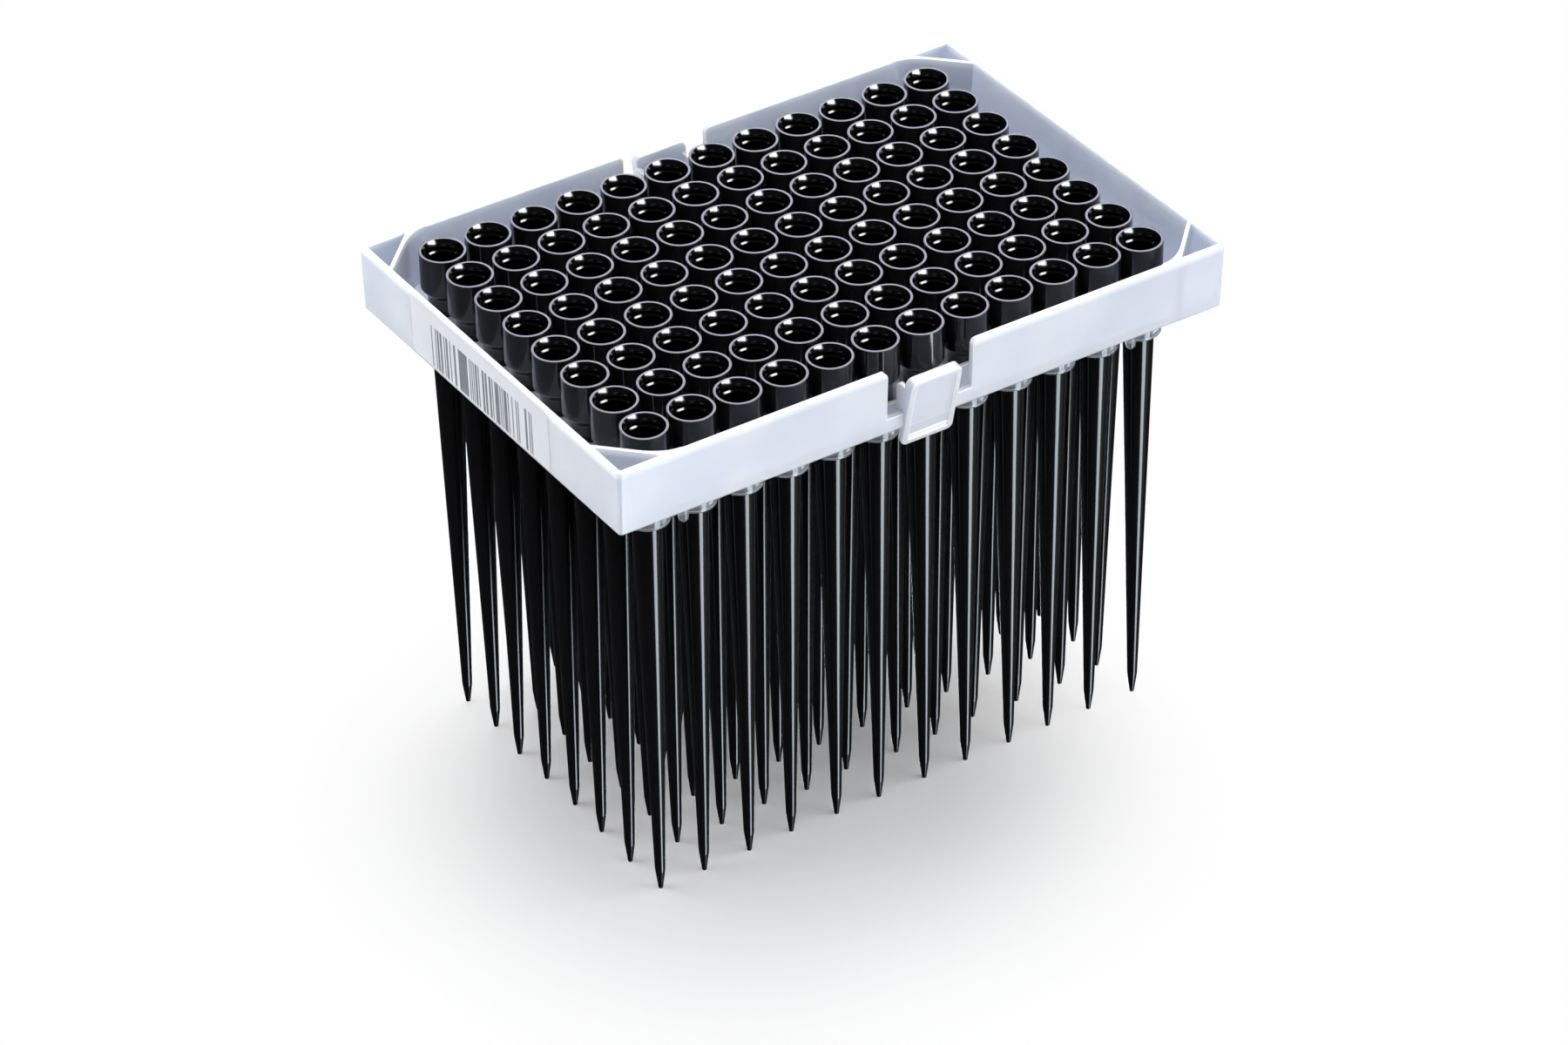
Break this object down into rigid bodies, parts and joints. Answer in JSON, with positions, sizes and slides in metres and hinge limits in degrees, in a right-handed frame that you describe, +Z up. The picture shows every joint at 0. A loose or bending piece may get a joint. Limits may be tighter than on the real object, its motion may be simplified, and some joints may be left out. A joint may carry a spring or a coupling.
{
  "type": "pipette tip rack",
  "caption": "Shallow translucent tray with collars holding a full grid of long black conductive pipette tips, with a sprung release clip on each long side.",
  "frame": {"origin": "under the middle of the tray, level with the lower ends of the tips", "axes": "+Z up, out of the tips' mouths; +X along the tray's long side, towards column 12; +Y towards row A, the back"},
  "size_m": [0.121, 0.0858, 0.0951],
  "materials": {
    "tray_plastic": "natural translucent polypropylene, satin",
    "clip_plastic": "natural translucent polypropylene, satin",
    "tip_plastic": "carbon-filled conductive polypropylene, glossy black"
  },
  "bodies": {
    "tray_body": {"tray": "tray_plastic", "tip_A1": "tip_plastic", "tip_A2": "tip_plastic", "tip_A3": "tip_plastic", "tip_A4": "tip_plastic", "tip_A5": "tip_plastic", "tip_A6": "tip_plastic", "tip_A7": "tip_plastic", "tip_B1": "tip_plastic", "tip_B2": "tip_plastic", "tip_B3": "tip_plastic", "tip_B4": "tip_plastic", "tip_B5": "tip_plastic", "tip_B6": "tip_plastic", "tip_B7": "tip_plastic", "tip_C1": "tip_plastic", "tip_C2": "tip_plastic", "tip_C3": "tip_plastic", "tip_C4": "tip_plastic", "tip_C5": "tip_plastic", "tip_C6": "tip_plastic", "tip_C7": "tip_plastic", "tip_D1": "tip_plastic", "tip_D2": "tip_plastic", "tip_D3": "tip_plastic", "tip_D4": "tip_plastic", "tip_D5": "tip_plastic", "tip_D6": "tip_plastic", "tip_D7": "tip_plastic", "tip_E1": "tip_plastic", "tip_E2": "tip_plastic", "tip_E3": "tip_plastic", "tip_E4": "tip_plastic", "tip_E5": "tip_plastic", "tip_E6": "tip_plastic", "tip_E7": "tip_plastic", "tip_F1": "tip_plastic", "tip_F2": "tip_plastic", "tip_F3": "tip_plastic", "tip_F4": "tip_plastic", "tip_F5": "tip_plastic", "tip_F6": "tip_plastic", "tip_F7": "tip_plastic", "tip_G1": "tip_plastic", "tip_G2": "tip_plastic", "tip_G3": "tip_plastic", "tip_G4": "tip_plastic", "tip_G5": "tip_plastic", "tip_G6": "tip_plastic", "tip_G7": "tip_plastic", "tip_H1": "tip_plastic", "tip_H2": "tip_plastic", "tip_H3": "tip_plastic", "tip_H4": "tip_plastic", "tip_H5": "tip_plastic", "tip_H6": "tip_plastic", "tip_H7": "tip_plastic"},
    "front_clip_body": {"front_clip": "clip_plastic"},
    "rear_clip_body": {"rear_clip": "clip_plastic"}
  },
  "joints": [
    {"name": "front_clip_rock", "type": "hinge", "parent": "tray_body", "child": "front_clip_body", "pos_m": [0, -0.04004, 0.08415], "axis": [-1, 0, 0], "range_deg": [0, 12], "stiffness_Nm_per_rad": 0.02},
    {"name": "rear_clip_rock", "type": "hinge", "parent": "tray_body", "child": "rear_clip_body", "pos_m": [0, 0.04004, 0.08415], "axis": [1, 0, 0], "range_deg": [0, 12], "stiffness_Nm_per_rad": 0.02}
  ]
}
